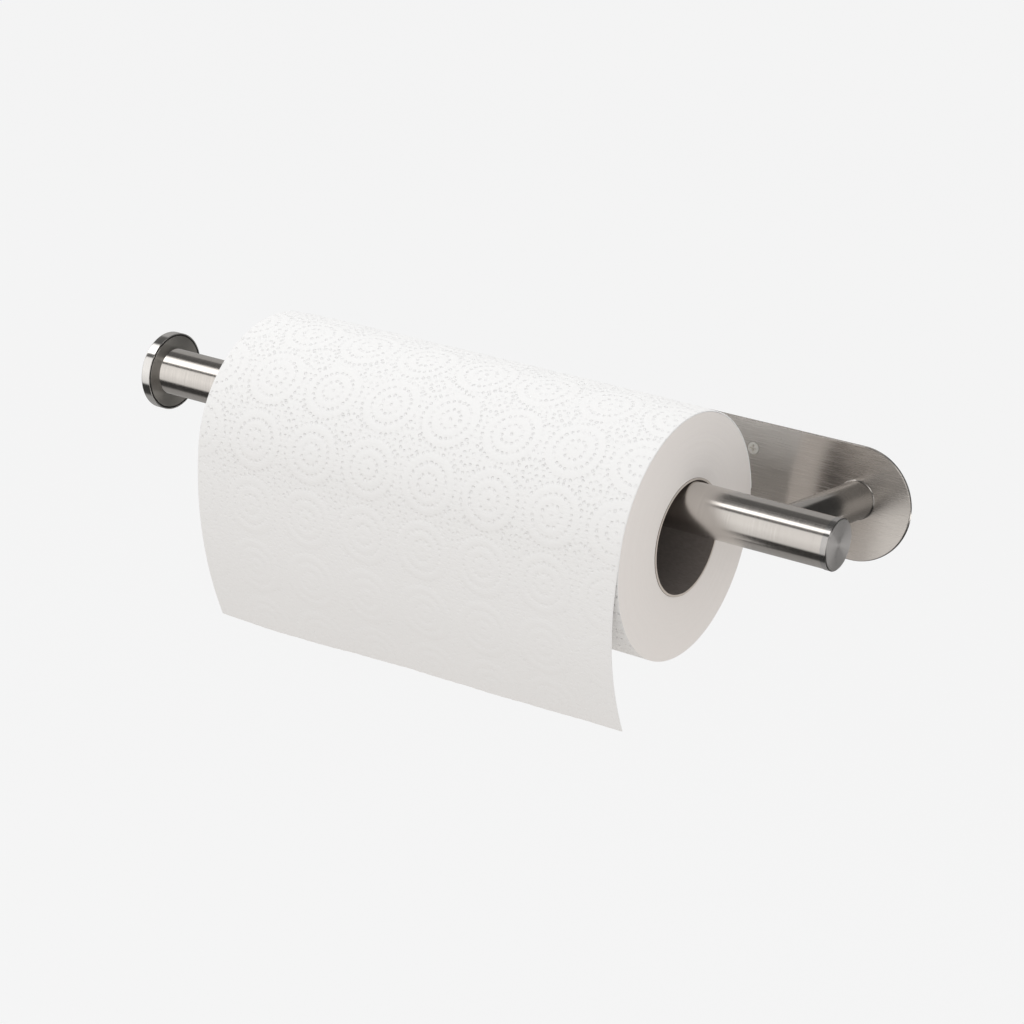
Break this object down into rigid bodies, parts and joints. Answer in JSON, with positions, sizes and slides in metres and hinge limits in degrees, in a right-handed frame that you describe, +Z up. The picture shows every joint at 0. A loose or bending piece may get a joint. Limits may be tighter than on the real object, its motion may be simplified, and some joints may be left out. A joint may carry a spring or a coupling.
{
  "type": "wall-mounted paper towel holder",
  "caption": "Single-arm steel holder: stadium wall plate, short post and long bar with an end stop, carrying a paper roll that slides and turns on the bar.",
  "frame": {"origin": "centre of the wall screw pattern, on the wall's surface at the back of the foam pad", "axes": "+X along the bar towards the post, +Y into the wall, +Z up"},
  "size_m": [0.3606, 0.1561, 0.14],
  "materials": {
    "brushed_plate": "satin, brushed along the plate",
    "brushed_tube": "satin, brushed along the tube",
    "turned_face": "lathe-turned face",
    "polished_steel": "polished rim, brushed face",
    "plain_steel": "machined",
    "zinc_screw": "bright zinc",
    "black_rubber": "matte",
    "foam_pad": "closed-cell foam",
    "grey_cardboard": "spiral-wound grey board",
    "tissue": "embossed two-ply tissue"
  },
  "bodies": {
    "holder": {"wall_plate": "brushed_plate", "adhesive_pad": "foam_pad", "wall_screws": "zinc_screw", "post_collar": "brushed_tube", "post": "brushed_tube", "post_saddle": "plain_steel", "tie_screw": "zinc_screw", "bar_tube": "brushed_tube", "bar_anchor": "plain_steel", "bar_end_cap": "turned_face", "bar_end_insert": "plain_steel", "end_flange": "turned_face", "end_screw": "zinc_screw", "end_seal": "black_rubber", "end_cap": "polished_steel"},
    "hanging_towel": {"loose_sheet": "tissue"},
    "roll": {"cardboard_core": "grey_cardboard", "paper_roll": "tissue"}
  },
  "joints": [
    {"name": "roll_slide", "type": "slide", "parent": "holder", "child": "hanging_towel", "axis": [1, 0, 0], "range_m": [-0.062, 0.033]},
    {"name": "roll_spin", "type": "hinge", "parent": "hanging_towel", "child": "roll", "pos_m": [0, -0.0735, -0.0119], "axis": [1, 0, 0], "continuous": true}
  ]
}
